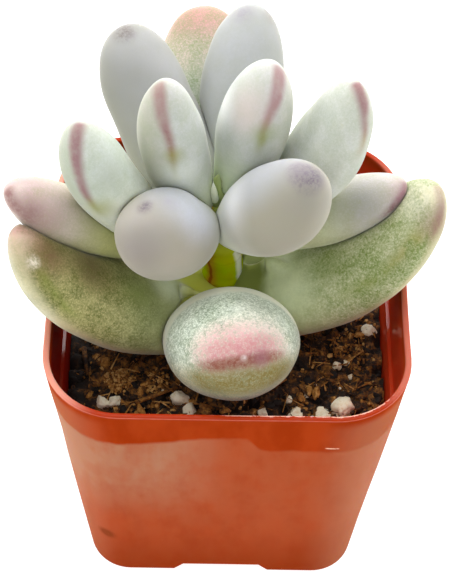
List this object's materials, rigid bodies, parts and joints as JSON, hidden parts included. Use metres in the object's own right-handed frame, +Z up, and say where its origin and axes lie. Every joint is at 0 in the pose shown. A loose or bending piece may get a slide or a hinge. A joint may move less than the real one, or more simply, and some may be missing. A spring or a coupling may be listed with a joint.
{
  "type": "potted silver peak pigs ear",
  "caption": "Small succulent with plump egg-shaped frosted leaves in a loose rosette on a short stem, planted in potting mix in a square tapered nursery pot.",
  "frame": {"origin": "centre of the pot's underside, on the surface the pot stands on", "axes": "+Z up along the plant; the picture looks along +Y with +X to its right"},
  "size_m": [0.0762, 0.075, 0.1054],
  "materials": {
    "pot_plastic": "glossy terracotta-coloured plastic",
    "potting_mix": "rough damp bark and peat with pumice",
    "stem": "smooth fleshy stem",
    "frosted_leaf": "matte waxy bloom",
    "grey_green_leaf": "matte waxy bloom, part rubbed off",
    "pink_leaf": "matte waxy bloom",
    "young_leaf": "matte"
  },
  "bodies": {
    "root": {"pot": "pot_plastic", "potting_mix": "potting_mix", "stem": "stem", "front_low_leaf": "grey_green_leaf", "front_left_leaf": "frosted_leaf", "front_right_leaf": "frosted_leaf", "centre_left_leaf": "grey_green_leaf", "centre_right_leaf": "grey_green_leaf", "left_upper_leaf": "grey_green_leaf", "right_upper_leaf": "grey_green_leaf", "left_pink_leaf": "pink_leaf", "right_pink_leaf": "pink_leaf", "back_left_leaf": "frosted_leaf", "back_right_leaf": "frosted_leaf", "left_big_leaf": "grey_green_leaf", "right_big_leaf": "grey_green_leaf", "back_low_leaf": "grey_green_leaf", "young_front_leaf": "young_leaf", "young_back_leaf": "young_leaf"}
  },
  "joints": []
}
